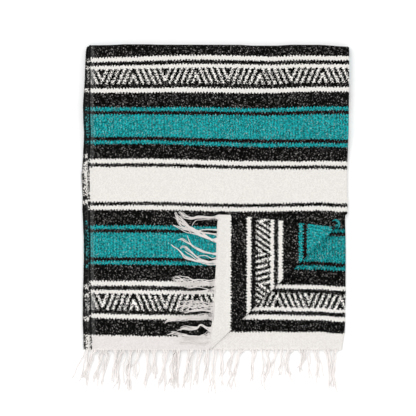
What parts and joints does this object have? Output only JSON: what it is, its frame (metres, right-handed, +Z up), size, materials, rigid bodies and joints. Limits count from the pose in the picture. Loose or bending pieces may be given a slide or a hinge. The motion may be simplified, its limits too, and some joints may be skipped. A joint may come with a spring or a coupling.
{
  "type": "folded serape blanket",
  "caption": "Mexican serape folded and laid flat, with traditional stripes and zigzag bands, one corner turned back and knotless fringe at the cut ends.",
  "frame": {"origin": "on the flat underside, near the middle of the folded stack, in the plane that it rests on", "axes": "+Z up from the surface, +Y towards the tucked, folded edge, +X along the stripes towards the side fold"},
  "size_m": [0.6692, 0.8347, 0.0227],
  "materials": {
    "top_layer": "matt woven, teal, black and off-white stripes",
    "turned_corner": "matt woven, teal, black and off-white stripes",
    "corner_under_layer": "matt woven, off-white end band",
    "lower_layer": "matt woven, teal, black and off-white stripes",
    "hidden_layers": "matt woven, teal, black and off-white stripes",
    "fringe_top_layer": "matt loose yarn, off-white",
    "fringe_lower_layer": "matt loose yarn, off-white",
    "fringe_turned_corner": "matt loose yarn, off-white"
  },
  "bodies": {
    "root": {"hidden_layers": "hidden_layers", "top_layer": "top_layer", "lower_layer": "lower_layer", "turned_corner": "turned_corner", "corner_under_layer": "corner_under_layer", "fringe_top_layer": "fringe_top_layer", "fringe_lower_layer": "fringe_lower_layer", "fringe_turned_corner": "fringe_turned_corner"}
  },
  "joints": []
}
